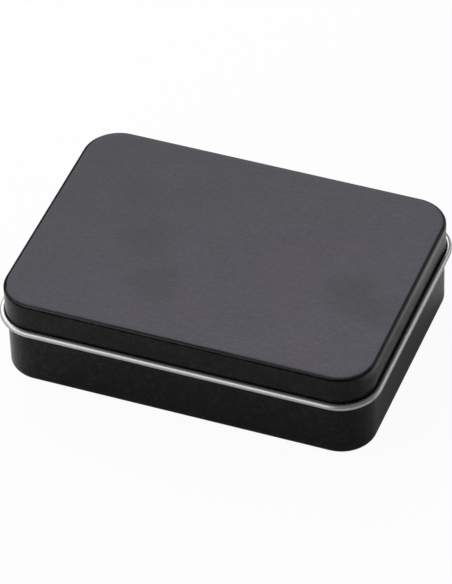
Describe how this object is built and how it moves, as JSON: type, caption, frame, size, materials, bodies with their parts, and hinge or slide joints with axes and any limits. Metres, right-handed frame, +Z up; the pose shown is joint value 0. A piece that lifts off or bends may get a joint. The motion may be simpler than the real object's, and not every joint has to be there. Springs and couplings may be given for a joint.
{
  "type": "card tin with hinged lid",
  "caption": "Low rectangular pressed tin with rounded corners: a lid with a rolled bead round its skirt, hinged on a steel wire along the rear of a base with an inward rolled rim.",
  "frame": {"origin": "middle of the underside, on the surface that the tin stands on", "axes": "+X along the hinge and the long side, +Y towards the hinge at the rear, +Z up out of the lid"},
  "size_m": [0.101, 0.0734, 0.0259],
  "materials": {
    "base_lacquer": "matte black lacquer outside, bare bright tinplate inside and on the rolled rim's cut edge",
    "lid_lacquer": "matte black lacquer outside with a fine brushed grain on the panel, bare bright tinplate inside and on the rolled edge",
    "bright_steel": "drawn bright steel wire"
  },
  "bodies": {
    "base": {"base_tray": "base_lacquer"},
    "lid": {"lid": "lid_lacquer", "hinge_wire": "bright_steel"}
  },
  "joints": [
    {"name": "lid_hinge", "type": "hinge", "parent": "base", "child": "lid", "pos_m": [0, 0.03585, 0.0171], "axis": [-1, 0, 0], "range_deg": [0, 180]}
  ]
}
